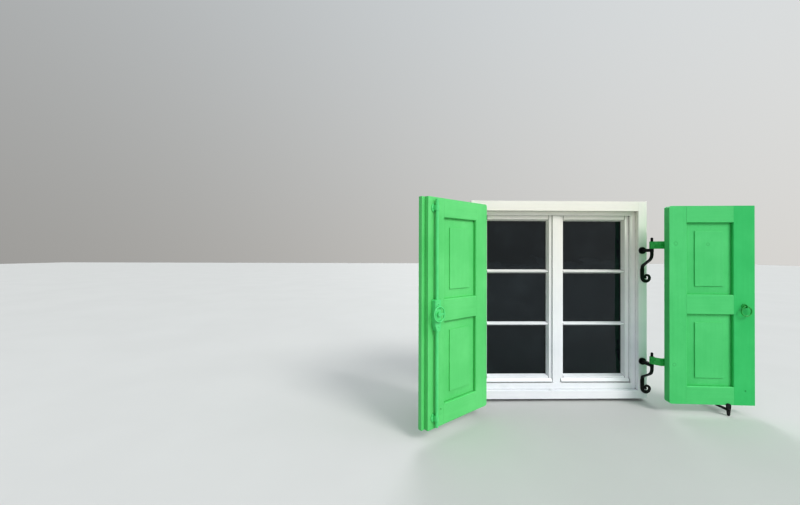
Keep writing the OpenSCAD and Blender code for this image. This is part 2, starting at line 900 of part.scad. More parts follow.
// Spindle, rose, arm and the lug that the ring hangs in
module bolt_crank() {
    spindle_l = ring_w + wire_r - face_in - keeper_t - case_clear;
    rose_w = case_d + case_clear;
    color(green_paint)
        leaf_at_rest(left)
            translate([rod_u, face_in, spindle_z])
                difference() {
                    union() {
                        translate([0, keeper_t + case_clear, 0])
                            rotate([-quarter_turn, 0, 0])
                                cylinder(r = spindle_r, h = spindle_l);
                        translate([0, rose_w, 0])
                            rotate([-quarter_turn, 0, 0])
                                cylinder(r = rose_r, h = lug_r + wire_r);
                        translate([-lug_arm, ring_w - face_in - wire_r, -crank_w / 2])
                            cube([lug_arm, 2 * wire_r, crank_w]);
                        translate([-lug_arm, ring_w - face_in, -lug_h / 2])
                            cylinder(r = lug_r, h = lug_h);
                    }
                    translate([-lug_arm, ring_w - face_in, -lug_h / 2 - over])
                        cylinder(r = wire_r + run_clear, h = lug_h + 2 * over);
                }
}

// A round ring with a straight bar where it turns in the lug, welded to it at two beads
module bolt_ring() {
    bead_share = 1.12;
    gap_angle = acos(lug_arm / bolt_ring_r);
    half_bar = bolt_ring_r * sin(gap_angle);
    color(green_paint)
        leaf_at_rest(left)
            translate([rod_u, ring_w, spindle_z]) {
                rotate([quarter_turn, 0, 0])
                    rotate([0, 0, gap_angle - half_turn])
                        rotate_extrude(angle = full_turn - 2 * gap_angle)
                            translate([bolt_ring_r, 0]) circle(r = wire_r);
                translate([-lug_arm, 0, -half_bar]) cylinder(r = wire_r, h = 2 * half_bar);
                for (z = [-half_bar, half_bar])
                    translate([-lug_arm, 0, z]) sphere(r = wire_r * bead_share);
            }
}

// An eye on a rose, its hole along the leaf's width
module pull_eye() {
    loop_r = eye_hole_r + eye_wire_r;
    color(green_paint)
        leaf_at_rest(right)
            translate([pull_u, face_in, pull_z]) {
                rotate([-quarter_turn, 0, 0]) {
                    cylinder(r = eye_rose_r, h = eye_rose_t);
                    cylinder(r = eye_wire_r, h = eye_stand - eye_hole_r - eye_wire_r);
                }
                translate([0, eye_stand, 0])
                    rotate([0, quarter_turn, 0])
                        rotate_extrude()
                            translate([loop_r, 0]) circle(r = eye_wire_r);
            }
}

module pull_ring() {
    color(green_paint)
        leaf_at_rest(right)
            translate([pull_u, eye_w, pull_z - pull_ring_r])
                rotate([quarter_turn, 0, 0])
                    rotate_extrude()
                        translate([pull_ring_r, 0]) circle(r = wire_r);
}

// The open right leaf leans a little from the wall: its face at X, seen from above
dog_neck_r = dog_shank_r / 2;
dog_head_r = dog_shank_r + dog_neck_r / 2;
leaf_lean = half_turn - right_open;
function open_face_y(x) = pin_y - face_in * cos(leaf_lean) - (x - pin_x + face_in * sin(leaf_lean)) * tan(leaf_lean);
dog_y = open_face_y(dog_x + dog_w / 2) - dog_gap;

module dog_shank() {
    color(black_iron)
        translate([dog_x, 0, dog_z])
            rotate([quarter_turn, 0, 0]) {
                translate([0, 0, -front_y])
                    cylinder(r = dog_shank_r, h = front_y - dog_y - dog_gap);
                translate([0, 0, -front_y - dog_spike_l])
                    cylinder(r1 = dog_neck_r / 2, r2 = dog_shank_r, h = dog_spike_l);
                translate([0, 0, -dog_y - dog_gap])
                    cylinder(r = dog_neck_r, h = dog_t + 2 * dog_gap);
                translate([0, 0, dog_t + dog_gap - dog_y])
                    domed_head(dog_head_r, dog_neck_r);
            }
}

// The catch turns on the neck of the shank and stands up in front of the leaf
module dog_catch() {
    top_r = dog_w / 2;
    tail_r = dog_w / 4;
    color(black_iron)
        translate([dog_x, dog_y, dog_z])
            difference() {
                translate([0, -dog_t, 0])
                    along_w(dog_t)
                        hull() {
                            translate([0, dog_up - top_r]) circle(r = top_r, $fn = 32);
                            translate([0, tail_r - dog_down]) circle(r = tail_r, $fn = 32);
                        }
                translate([0, over, 0])
                    rotate([quarter_turn, 0, 0])
                        cylinder(r = dog_neck_r + run_clear, h = dog_t + 2 * over);
            }
}

// A sash member's section: from its outer edge to the sight line, and from front to back
function sash_outline(width) = [
    [0, 0],
    [width - putty_w, 0],
    [width, glass_set],
    [width - glass_groove, glass_set],
    [width - glass_groove, glass_set + glass_t],
    [width, glass_set + glass_t],
    [width, sash_t - sash_chamfer],
    [width - sash_chamfer, sash_t],
    [0, sash_t]
];

module sash_hinge_stile_bar() {
    translate([0, sash_front, sash_low])
        linear_extrude(height = sash_high - sash_low)
            polygon([for (p = sash_outline(sash_hinge_stile_w)) [sash_out - p[0], p[1]]]);
}

module sash_meeting_stile_bar() {
    translate([0, sash_front, sash_low])
        linear_extrude(height = sash_high - sash_low)
            polygon([for (p = sash_outline(sash_meeting_stile_w)) [sash_in + p[0], p[1]]]);
}

module sash_stile(side, hinged) {
    color(white_paint)
        on_side(side)
            if (hinged)
                sash_hinge_stile_bar();
            else
                sash_meeting_stile_bar();
}

// Rails and glazing bars run into the grooves of both stiles
module between_stiles(side) {
    color(white_paint)
        on_side(side)
            difference() {
                translate([sash_in + sash_meeting_stile_w - glass_groove, sash_front, 0])
                    along_u(sight_w + 2 * glass_groove)
                        children();
                sash_hinge_stile_bar();
                sash_meeting_stile_bar();
            }
}

module sash_top_rail(side) {
    between_stiles(side)
        polygon([for (p = sash_outline(sash_top_rail_h)) [sash_high - p[0], p[1]]]);
}

module sash_bottom_rail(side) {
    between_stiles(side)
        polygon([for (p = sash_outline(sash_bottom_rail_h)) [sash_low + p[0], p[1]]]);
}

module sash_bars(side) {
    half = [for (p = sash_outline(bar_w / 2)) if (p[0] > 0) p];
    for (i = [1:panes - 1])
        between_stiles(side)
            translate([sight_low + i * (pane_h + bar_w) - bar_w / 2, 0])
                polygon(concat(half, reversed([for (p = half) [-p[0], p[1]]])));
}

module sash_glass(side) {
    edge = glass_groove - glass_play;
    color(glass_tint)
        on_side(side)
            for (i = [0:panes - 1])
                translate([
                    sash_in + sash_meeting_stile_w - edge,
                    sash_front + glass_set,
                    sight_low + i * (pane_h + bar_w) - edge
                ])
                    cube([sight_w + 2 * edge, glass_t, pane_h + 2 * edge]);
}

// Feet of the two hinges of a sash, each with a fixed knuckle under a moving one
hinge_span = 2 * sash_knuckle_h + barrel_clear;
hinge_feet = [sash_low + sash_hinge_inset, sash_high - sash_hinge_inset - hinge_span];
wing_start = sash_knuckle_r + sash_knuckle_gap;

module hinge_base(side) {
    color(white_paint)
        on_side(side)
            for (z = hinge_feet)
                translate([sash_pin_x, sash_pin_y, z]) {
                    cylinder(r = sash_knuckle_r, h = sash_knuckle_h);
                    cylinder(r = sash_pin_r, h = hinge_span);
                    translate([0, back_y - sash_pin_y, 0])
                        cube([wing_start, wing_t, sash_knuckle_h]);
                    translate([wing_start, back_y - sash_pin_y, 0])
                        cube([wing_w - wing_start, wing_t, hinge_span]);
                }
}

module sash_hinges(side) {
    knuckle_z = sash_knuckle_h + barrel_clear;
    color(white_paint)
        on_side(side)
            for (z = hinge_feet)
                translate([sash_pin_x, sash_pin_y, z])
                    difference() {
                        union() {
                            translate([0, 0, knuckle_z])
                                cylinder(r = sash_knuckle_r, h = sash_knuckle_h);
                            translate([-wing_start - over, sash_knuckle_gap + back_y - sash_pin_y, knuckle_z])
                                cube([wing_start + over, wing_t - sash_knuckle_gap, sash_knuckle_h]);
                            translate([-wing_w, back_y - sash_pin_y, 0])
                                cube([wing_w - wing_start, wing_t, hinge_span]);
                        }
                        translate([0, 0, knuckle_z - over])
                            cylinder(r = sash_pin_r + run_clear, h = sash_knuckle_h + 2 * over);
                    }
}

frame_jamb(left);  // frame_jamb_left
frame_jamb(right);  // frame_jamb_right
frame_head();
frame_sill();
frame_mullion();
pintle(left, strap_high);  // pintle_upper_left
pintle(left, strap_low);  // pintle_lower_left
pintle(right, strap_high);  // pintle_upper_right
pintle(right, strap_low);  // pintle_lower_right
pintle_screws();
hinge_base(left);  // sash_hinge_base_left
hinge_base(right);  // sash_hinge_base_right
dog_shank();
dog_catch();
leaf_hinge_stile(left);  // left_hinge_stile
leaf_meeting_stile(left);  // left_meeting_stile
top_rail(left);  // left_top_rail
mid_rail(left);  // left_mid_rail
bottom_rail(left);  // left_bottom_rail
leaf_panel(left, opening_high);  // left_panel_upper
leaf_panel(left, opening_low);  // left_panel_lower
leaf_strap(left, strap_high);  // left_strap_upper
leaf_strap(left, strap_low);  // left_strap_lower
strap_screws(left);  // left_strap_screws
keeper(rod_top - keeper_inset - keeper_h);  // keeper_upper
keeper(rod_foot + keeper_inset);  // keeper_lower
bolt_case();
bolt_screws();
upper_rod();
lower_rod();
bolt_crank();
bolt_ring();
leaf_hinge_stile(right);  // right_hinge_stile
leaf_meeting_stile(right);  // right_meeting_stile
top_rail(right);  // right_top_rail
mid_rail(right);  // right_mid_rail
bottom_rail(right);  // right_bottom_rail
leaf_panel(right, opening_high);  // right_panel_upper
leaf_panel(right, opening_low);  // right_panel_lower
leaf_strap(right, strap_high);  // right_strap_upper
leaf_strap(right, strap_low);  // right_strap_lower
strap_screws(right);  // right_strap_screws
pull_eye();
pull_ring();
sash_stile(left, true);  // sash_left_hinge_stile
sash_stile(left, false);  // sash_left_meeting_stile
sash_top_rail(left);  // sash_left_top_rail
sash_bottom_rail(left);  // sash_left_bottom_rail
sash_bars(left);  // sash_left_bars
sash_glass(left);  // sash_left_glass
sash_hinges(left);  // sash_left_hinges
sash_stile(right, true);  // sash_right_hinge_stile
sash_stile(right, false);  // sash_right_meeting_stile
sash_top_rail(right);  // sash_right_top_rail
sash_bottom_rail(right);  // sash_right_bottom_rail
sash_bars(right);  // sash_right_bars
sash_glass(right);  // sash_right_glass
sash_hinges(right);  // sash_right_hinges
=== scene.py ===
import json
import math

import bpy
from mathutils import Matrix, Vector


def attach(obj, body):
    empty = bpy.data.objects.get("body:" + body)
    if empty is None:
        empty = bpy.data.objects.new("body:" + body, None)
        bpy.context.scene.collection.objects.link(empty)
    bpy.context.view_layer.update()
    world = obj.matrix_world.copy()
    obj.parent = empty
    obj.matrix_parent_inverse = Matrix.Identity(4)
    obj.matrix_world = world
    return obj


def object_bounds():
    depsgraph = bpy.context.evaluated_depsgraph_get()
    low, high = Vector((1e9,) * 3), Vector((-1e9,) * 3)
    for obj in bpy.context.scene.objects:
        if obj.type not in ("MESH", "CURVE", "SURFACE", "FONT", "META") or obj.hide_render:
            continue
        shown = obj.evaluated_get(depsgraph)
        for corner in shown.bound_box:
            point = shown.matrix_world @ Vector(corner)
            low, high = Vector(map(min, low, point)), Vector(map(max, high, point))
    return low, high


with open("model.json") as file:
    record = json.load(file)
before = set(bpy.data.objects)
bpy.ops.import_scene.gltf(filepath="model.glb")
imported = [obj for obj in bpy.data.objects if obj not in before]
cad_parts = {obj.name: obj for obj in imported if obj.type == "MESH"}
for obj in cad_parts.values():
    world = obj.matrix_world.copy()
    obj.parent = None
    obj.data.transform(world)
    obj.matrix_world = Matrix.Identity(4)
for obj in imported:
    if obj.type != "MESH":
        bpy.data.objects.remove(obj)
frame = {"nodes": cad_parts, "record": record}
nodes = frame["nodes"]
record = frame["record"]
cad_low, cad_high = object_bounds()

SLOT_OF = {row["node"]: row["material_slot"] for row in record["subparts"]}

# The leaves stand open by these angles, which turn the grain and brush marks with them
LEFT_OPEN = math.radians(141.1)
RIGHT_OPEN = math.radians(175.8)


def put_in_scene(name, data):
    thing = bpy.data.objects.new(name, data)
    bpy.context.scene.collection.objects.link(thing)
    return thing


# Camera, fitted to the corners of the leaves and the frame

CAMERA_AT = Vector((-0.908, -1.959, 0.786))
CAMERA_YAW = math.radians(1.08)
CAMERA_PITCH = math.radians(0.29)
CAMERA_ROLL = math.radians(0.17)
LENS_MM = 15.904
SENSOR_MM = 36.0
CLIP_NEAR = 0.05
CLIP_FAR = 60.0


def add_camera():
    data = bpy.data.cameras.new("camera")
    data.lens = LENS_MM
    data.sensor_width = SENSOR_MM
    data.clip_start = CLIP_NEAR
    data.clip_end = CLIP_FAR
    forward = Vector((
        math.sin(CAMERA_YAW) * math.cos(CAMERA_PITCH),
        math.cos(CAMERA_YAW) * math.cos(CAMERA_PITCH),
        math.sin(CAMERA_PITCH),
    ))
    level = Vector((math.cos(CAMERA_YAW), -math.sin(CAMERA_YAW), 0.0))
    upright = level.cross(forward)
    right = level * math.cos(CAMERA_ROLL) + upright * math.sin(CAMERA_ROLL)
    up = right.cross(forward)
    turn = Matrix((right, up, -forward)).transposed().to_4x4()
    camera = put_in_scene("camera", data)
    camera.matrix_world = Matrix.Translation(CAMERA_AT) @ turn
    bpy.context.scene.camera = camera


# Short calls for shader nodes

class Nodes:
    """One node tree, emptied, with a call for each kind of node."""

    def __init__(self, tree):
        self.tree = tree
        tree.nodes.clear()

    def new(self, kind):
        return self.tree.nodes.new(kind)

    def feed(self, value, socket):
        """Links an output to a socket, or sets the socket to a plain value."""
        if hasattr(value, "is_output"):
            self.tree.links.new(value, socket)
        else:
            socket.default_value = value

    def math(self, kind, first, second=0.0):
        node = self.new("ShaderNodeMath")
        node.operation = kind
        self.feed(first, node.inputs[0])
        self.feed(second, node.inputs[1])
        return node.outputs[0]

    def part(self, vector, axis):
        """One coordinate of a vector."""
        node = self.new("ShaderNodeSeparateXYZ")
        self.feed(vector, node.inputs[0])
        return node.outputs[axis]

    def ramp(self, source, low, high):
        """0 below low and 1 above high, smooth between."""
        node = self.new("ShaderNodeMapRange")
        node.interpolation_type = "SMOOTHSTEP"
        node.inputs["From Min"].default_value = low
        node.inputs["From Max"].default_value = high
        self.feed(source, node.inputs["Value"])
        return node.outputs["Result"]

    def scaled(self, source, low, high):
        """Maps 0..1 to low..high."""
        node = self.new("ShaderNodeMapRange")
        node.inputs["To Min"].default_value = low
        node.inputs["To Max"].default_value = high
        self.feed(source, node.inputs["Value"])
        return node.outputs["Result"]

    def between(self, share, first, second):
        """A number between two others."""
        node = self.new("ShaderNodeMix")
        self.feed(share, node.inputs[0])
        self.feed(first, node.inputs[2])
        self.feed(second, node.inputs[3])
        return node.outputs[0]

    def mix(self, share, first, second):
        """A colour between two others, each a node's output or three numbers."""
        node = self.new("ShaderNodeMix")
        node.data_type = "RGBA"
        self.feed(share, node.inputs[0])
        for value, socket in ((first, node.inputs[6]), (second, node.inputs[7])):
            self.feed(value if hasattr(value, "is_output") else (*value, 1.0), socket)
        return node.outputs[2]


class Material(Nodes):
    """A Principled material."""

    def __init__(self, name, roughness, specular):
        self.made = bpy.data.materials.new(name)
        self.made.use_nodes = True
        super().__init__(self.made.node_tree)
        self.shader = self.new("ShaderNodeBsdfPrincipled")
        output = self.new("ShaderNodeOutputMaterial")
        self.feed(self.shader.outputs[0], output.inputs["Surface"])
        self.set("Roughness", roughness)
        self.set("Specular IOR Level", specular)

    def set(self, socket, value):
        self.feed(value, self.shader.inputs[socket])

    def object_place(self):
        return self.new("ShaderNodeTexCoord").outputs["Object"]

    def coords(self, stretch=(1.0, 1.0, 1.0), turn=0.0):
        """Object coordinates, turned about Z so that they follow a leaf, then stretched."""
        spin = self.new("ShaderNodeMapping")
        spin.inputs["Rotation"].default_value = (0.0, 0.0, turn)
        self.feed(self.object_place(), spin.inputs["Vector"])
        size = self.new("ShaderNodeMapping")
        size.inputs["Scale"].default_value = stretch
        self.feed(spin.outputs[0], size.inputs["Vector"])
        return size.outputs[0]

    def height(self):
        """Height above the foot of the frame, in metres."""
        return self.part(self.object_place(), "Z")

    def noise(self, vector, scale=1.0, detail=3.0, rough=0.55, distortion=0.0):
        node = self.new("ShaderNodeTexNoise")
        node.inputs["Scale"].default_value = scale
        node.inputs["Detail"].default_value = detail
        node.inputs["Roughness"].default_value = rough
        node.inputs["Distortion"].default_value = distortion
        self.feed(vector, node.inputs["Vector"])
        return node.outputs["Fac"]

    def dents(self, vector, scale):
        """Shallow round hollows side by side."""
        node = self.new("ShaderNodeTexVoronoi")
        node.feature = "SMOOTH_F1"
        node.inputs["Scale"].default_value = scale
        self.feed(vector, node.inputs["Vector"])
        return node.outputs["Distance"]

    def crevice(self, reach):
        """Near 1 where surfaces meet in a corner, 0 in the open."""
        node = self.new("ShaderNodeAmbientOcclusion")
        node.samples = CREVICE_SAMPLES
        node.inputs["Distance"].default_value = reach
        return self.math("SUBTRACT", 1.0, node.outputs["AO"])

    def edge(self):
        """Above one half on outer edges."""
        return self.new("ShaderNodeNewGeometry").outputs["Pointiness"]

    def knot(self, centre, radius):
        """0 on the ring of a knot that shows through the paint, 1 away from it."""
        reach = self.new("ShaderNodeVectorMath")
        reach.operation = "DISTANCE"
        self.feed(self.object_place(), reach.inputs[0])
        reach.inputs[1].default_value = centre
        off_ring = self.math("SUBTRACT", reach.outputs["Value"], radius)
        return self.ramp(self.math("ABSOLUTE", off_ring), 0.0, 0.5 * radius)

    def over(self, tone, colour, source, shows, share):
        """Lays a colour over the tone where source is high, up to a share."""
        return self.mix(self.scaled(self.ramp(source, *shows), 0.0, share), tone, colour)

    def bump(self, *layers):
        """Stacks bumps, each a source with its height in metres."""
        last = None
        for source, depth in layers:
            node = self.new("ShaderNodeBump")
            node.inputs["Strength"].default_value = 1.0
            node.inputs["Distance"].default_value = depth
            self.feed(source, node.inputs["Height"])
            if last is not None:
                self.feed(last, node.inputs["Normal"])
            last = node.outputs[0]
        self.set("Normal", last)


# Light

# Strength of the surrounding light at the horizon before and behind the object,
# its gain towards the right and its gain towards the top
FRONT_LIGHT = (0.41, 0.32, 0.42)
REAR_LIGHT = (0.40, 0.14, 0.12)
# Y of the direction at which the light behind starts, and at which it is alone
REAR_SHOWS = (-0.15, 0.45)
HORIZON_TINT = (1.0, 0.985, 0.955)
TOP_TINT = (0.88, 0.95, 1.0)

# Large soft sources far off: direction, strength, width in degrees and colour
KEY_LIGHT = ((0.50, -0.58, 0.64), 1.16, 22.0, (1.0, 0.985, 0.95))
BACK_LIGHT = ((0.15, 0.83, 0.53), 0.60, 24.0, (0.97, 0.985, 1.0))

FILL_AT = Vector((-4.6, -2.6, 2.4))
FILL_AIM = Vector((-0.4, -0.2, 0.5))
FILL_SIZE = (3.0, 2.2)
FILL_WATTS = 6.0
FILL_COLOUR = (0.86, 0.93, 1.0)


def add_world():
    world = bpy.data.worlds.new("studio")
    world.use_nodes = True
    sky = Nodes(world.node_tree)
    place = sky.new("ShaderNodeTexCoord").outputs["Generated"]

    def strength(light):
        level, to_right, to_top = light
        sideways = sky.math("MULTIPLY", sky.part(place, "X"), to_right)
        upwards = sky.math("MULTIPLY", sky.part(place, "Z"), to_top)
        return sky.math("ADD", sky.math("ADD", sideways, upwards), level)

    behind = sky.ramp(sky.part(place, "Y"), *REAR_SHOWS)
    back = sky.new("ShaderNodeBackground")
    sky.feed(sky.between(behind, strength(FRONT_LIGHT), strength(REAR_LIGHT)),
             back.inputs["Strength"])
    sky.feed(sky.mix(sky.part(place, "Z"), HORIZON_TINT, TOP_TINT), back.inputs["Color"])
    output = sky.new("ShaderNodeOutputWorld")
    sky.feed(back.outputs[0], output.inputs["Surface"])
    bpy.context.scene.world = world


def add_sun(name, towards, strength, width_deg, colour):
    data = bpy.data.lights.new(name, "SUN")
    data.energy = strength
    data.angle = math.radians(width_deg)
    data.color = colour
    lamp = put_in_scene(name, data)
    lamp.rotation_euler = Vector(towards).to_track_quat("Z", "Y").to_euler()


def add_fill():
    data = bpy.data.lights.new("fill", "AREA")
    data.shape = "RECTANGLE"
    data.size, data.size_y = FILL_SIZE
    data.energy = FILL_WATTS
    data.color = FILL_COLOUR
    lamp = put_in_scene("fill", data)
    lamp.location = FILL_AT
    lamp.rotation_euler = (FILL_AIM - FILL_AT).to_track_quat("-Z", "Y").to_euler()


def add_lights():
    add_sun("key", *KEY_LIGHT)
    add_sun("back", *BACK_LIGHT)
    add_fill()


# Floor

FLOOR_HALF = 30.0
FLOOR_DROP = 0.0005
FLOOR_TONES = ((0.565, 0.565, 0.558), (0.580, 0.580, 0.573))


def floor_paint():
    paint = Material("floor_paint", roughness=0.75, specular=0.5)
    tone = paint.noise(paint.coords(), scale=1.3, detail=4.0)
    paint.set("Base Color", paint.mix(paint.ramp(tone, 0.3, 0.7), *FLOOR_TONES))
    return paint.made


def add_floor(low):
    mesh = bpy.data.meshes.new("floor")
    corners = ((-1, -1), (1, -1), (1, 1), (-1, 1))
    mesh.from_pydata([(x * FLOOR_HALF, y * FLOOR_HALF, low) for x, y in corners],
                     [], [(0, 1, 2, 3)])
    mesh.materials.append(floor_paint())
    put_in_scene("floor", mesh)


# Paint on wood

# Base, light, shade and dark colours of each paint: the light one tints random patches and is
# the painted highlight on edges, the shade one tints the grain, and the dark one marks grime
# specks and knots and is the painted shade in corners
GREEN_PAINT = (
    (0.104, 0.585, 0.208), (0.130, 0.635, 0.238), (0.066, 0.480, 0.142), (0.002, 0.105, 0.010))
# The left leaf's paint: the green of the right leaf with more red, a painted sheen of the light
# it faces
LEFT_SHEEN_GREEN_PAINT = (
    (0.140, 0.590, 0.205), (0.175, 0.645, 0.240), (0.088, 0.485, 0.140), (0.002, 0.105, 0.010))
DEEP_GREEN_PAINT = (
    (0.056, 0.530, 0.172), (0.074, 0.575, 0.196), (0.040, 0.450, 0.120), (0.002, 0.105, 0.010))
WHITE_PAINT = (
    (0.82, 0.835, 0.880), (0.89, 0.900, 0.935), (0.68, 0.690, 0.715), (0.15, 0.145, 0.130))
# Painted warm bounce light: the white paint turns this cream towards the top of the window
CREAM_WHITE = (0.84, 0.815, 0.72)

# Painted shade in corners: how far it reaches out of a corner, in metres, and its share there
GREEN_CORNER_SHADE = (0.004, 0.85)
WHITE_CORNER_SHADE = (0.009, 0.90)

# Scales of the noise across and along the brush, in cycles a metre
BRUSH_ACROSS = 330.0
BRUSH_ALONG = 9.0
GRAIN_ACROSS = 95.0
GRAIN_ALONG = 3.2
PATCH_SCALE = 5.5
SPECK_SCALE = 160.0

# Where each layer starts to show and where it shows in full
PATCHES_SHOW = (0.32, 0.68)
GRAIN_SHOWS = (0.35, 0.72)
SPECKS_SHOW = (0.62, 0.80)
CORNER_SHADE_SHOWS = (0.25, 0.80)
EDGE_HIGHLIGHT_SHOWS = (0.52, 0.60)
WARM_BOUNCE_SHOWS = (0.25, 1.05)

# Largest share of each layer
GRAIN_SHARE = 0.14
SPECK_SHARE = 0.20
WOOD_EDGE_HIGHLIGHT_SHARE = 0.30
WARM_BOUNCE_SHARE = 0.85

# Heights in metres
BRUSH_DEPTH = 0.00010
GRAIN_DEPTH = 0.00035
SPECK_DEPTH = 0.00008

CREVICE_SAMPLES = 6

# Knots of the right leaf that show through its paint: centre and radius in metres
RIGHT_KNOTS = (
    ((0.521, -0.197, 0.844), 0.0085),
    ((0.681, -0.204, 0.841), 0.0070),
    ((0.513, -0.196, 0.232), 0.0075),
)
KNOT_SHADE = 0.16
KNOT_DEPTH = 0.0005


def along(direction, across, length):
    """Stretch of a noise that runs along X or along Z."""
    return (length, across, across) if direction == "x" else (across, across, length)


def painted_wood(name, direction, turn, paints, roughness, corner_shade, warm_bounce_top=None, knots=()):
    """Brushed paint with the grain, knots and grime specks of the wood under it, painted shade
    in its corners, a painted highlight on its edges and, if given, painted warm light towards
    the top.
    """
    base, light, shade, dark_tone = paints
    shade_reach, shade_share = corner_shade
    paint = Material(name, roughness=roughness, specular=0.35)
    brush = paint.noise(
        paint.coords(along(direction, BRUSH_ACROSS, BRUSH_ALONG), turn), detail=2.0)
    grain = paint.noise(
        paint.coords(along(direction, GRAIN_ACROSS, GRAIN_ALONG), turn),
        detail=5.0, rough=0.62, distortion=0.35)
    patches = paint.noise(paint.coords(turn=turn), scale=PATCH_SCALE, detail=4.0)
    specks = paint.noise(paint.coords(turn=turn), scale=SPECK_SCALE, detail=3.0, rough=0.7)

    tone = paint.mix(paint.ramp(patches, *PATCHES_SHOW), base, light)
    # Painted warm bounce light, growing towards the top
    if warm_bounce_top:
        tone = paint.over(tone, warm_bounce_top, paint.height(), WARM_BOUNCE_SHOWS, WARM_BOUNCE_SHARE)
    tone = paint.over(tone, shade, grain, GRAIN_SHOWS, GRAIN_SHARE)
    tone = paint.over(tone, dark_tone, specks, SPECKS_SHOW, SPECK_SHARE)
    # Painted shade: the dark tone laid into corners and recesses
    tone = paint.over(tone, dark_tone, paint.crevice(shade_reach), CORNER_SHADE_SHOWS, shade_share)
    # Painted highlight: the light colour laid along outer edges
    tone = paint.over(tone, light, paint.edge(), EDGE_HIGHLIGHT_SHOWS, WOOD_EDGE_HIGHLIGHT_SHARE)
    layers = [(brush, BRUSH_DEPTH), (grain, GRAIN_DEPTH), (specks, SPECK_DEPTH)]
    for centre, radius in knots:
        ring = paint.knot(centre, radius)
        tone = paint.mix(paint.scaled(ring, KNOT_SHADE, 0.0), tone, dark_tone)
        layers.append((ring, KNOT_DEPTH))

    paint.set("Base Color", tone)
    paint.set("Roughness", paint.scaled(
        paint.ramp(brush, 0.3, 0.7), roughness - 0.06, roughness + 0.08))
    paint.bump(*layers)
    return paint.made


# The left leaf's wood, whose paint carries a painted sheen
def left_leaf_wood(direction):
    return painted_wood(f"green_wood_left_{direction}", direction, LEFT_OPEN,
                        LEFT_SHEEN_GREEN_PAINT, 0.46, GREEN_CORNER_SHADE)


def right_leaf_wood(direction):
    knots = RIGHT_KNOTS if direction == "z" else ()
    return painted_wood(f"green_wood_right_{direction}", direction, -RIGHT_OPEN,
                        GREEN_PAINT, 0.46, GREEN_CORNER_SHADE, knots=knots)


def right_meeting_board():
    """The outer board of the right leaf, which is a deeper green than the rest."""
    return painted_wood("green_wood_deep", "z", -RIGHT_OPEN, DEEP_GREEN_PAINT, 0.44, GREEN_CORNER_SHADE)


def window_wood(direction):
    return painted_wood(f"white_wood_{direction}", direction, 0.0,
                        WHITE_PAINT, 0.42, WHITE_CORNER_SHADE, warm_bounce_top=CREAM_WHITE)


# Paint on iron

IRON_BRUSH_SCALE = 240.0
IRON_PATCH_SCALE = 26.0
HAMMER_SCALE = 95.0
IRON_BRUSH_DEPTH = 0.00012
# How far the painted shade reaches out of the corners of the iron, in metres
IRON_SHADE_REACH = 0.012
IRON_EDGE_HIGHLIGHT_SHARE = 0.45
RUST = (0.10, 0.035, 0.012)
RUST_SCALE = 70.0
RUST_SHOWS = (0.60, 0.72)


def painted_iron(name, paints, roughness, gloss, hammer_depth, rust_share=0.0, shade_share=0.75):
    """Paint on forged iron: paints are its base, light and dark colours; the dark one is painted
    shade in corners, and the light one is also a painted highlight on edges.
    """
    base, light, dark_tone = paints
    paint = Material(name, roughness=roughness, specular=gloss)
    hammer = paint.dents(paint.coords(), scale=HAMMER_SCALE)
    brush = paint.noise(paint.coords(), scale=IRON_BRUSH_SCALE, detail=3.0)
    patches = paint.noise(paint.coords(), scale=IRON_PATCH_SCALE, detail=4.0)

    tone = paint.mix(paint.ramp(patches, *PATCHES_SHOW), base, light)
    # Painted shade: the dark tone laid into corners of the iron
    tone = paint.over(tone, dark_tone, paint.crevice(IRON_SHADE_REACH), CORNER_SHADE_SHOWS, shade_share)
    if rust_share:
        spots = paint.noise(paint.coords(), scale=RUST_SCALE, detail=6.0, rough=0.7)
        tone = paint.over(tone, RUST, spots, RUST_SHOWS, rust_share)
    # Painted highlight: the light colour laid along outer edges of the iron
    tone = paint.over(tone, light, paint.edge(), EDGE_HIGHLIGHT_SHOWS, IRON_EDGE_HIGHLIGHT_SHARE)

    paint.set("Base Color", tone)
    paint.set("Roughness", paint.scaled(
        paint.ramp(patches, 0.3, 0.7), roughness - 0.07, roughness + 0.10))
    paint.bump((hammer, hammer_depth), (brush, IRON_BRUSH_DEPTH))
    return paint.made


def strap_iron():
    """The straps and the ring pull, a darker green than the boards."""
    return painted_iron(
        "green_iron", ((0.030, 0.360, 0.078), (0.062, 0.470, 0.125), (0.001, 0.05, 0.004)),
        roughness=0.27, gloss=0.50, hammer_depth=0.00025)


def bolt_iron():
    """The bolt of the left leaf, painted over with the boards."""
    return painted_iron(
        "green_iron_bolt", ((0.128, 0.640, 0.242), (0.150, 0.680, 0.268), (0.004, 0.16, 0.022)),
        roughness=0.36, gloss=0.40, hammer_depth=0.00003, shade_share=0.30)


def black_iron():
    return painted_iron(
        "black_iron", ((0.006, 0.006, 0.007), (0.020, 0.020, 0.023), (0.003, 0.003, 0.003)),
        roughness=0.36, gloss=0.35, hammer_depth=0.0008, rust_share=0.25)


def white_iron():
    return painted_iron(
        "white_iron", ((0.78, 0.795, 0.785), (0.88, 0.89, 0.885), (0.28, 0.27, 0.24)),
        roughness=0.38, gloss=0.40, hammer_depth=0.00010)


# Glass

# Near-black tones of the panes, painted shade of the dark room behind them; the lighter one
# shows where dust lies
GLASS_SHADE_TONES = ((0.012, 0.022, 0.030), (0.034, 0.052, 0.064))
GLASS_RIM = (0.070, 0.066, 0.055)
GLASS_RIM_REACH = 0.040
GLASS_RIM_SHARE = 0.45
GLASS_WAVE_DEPTH = 0.003


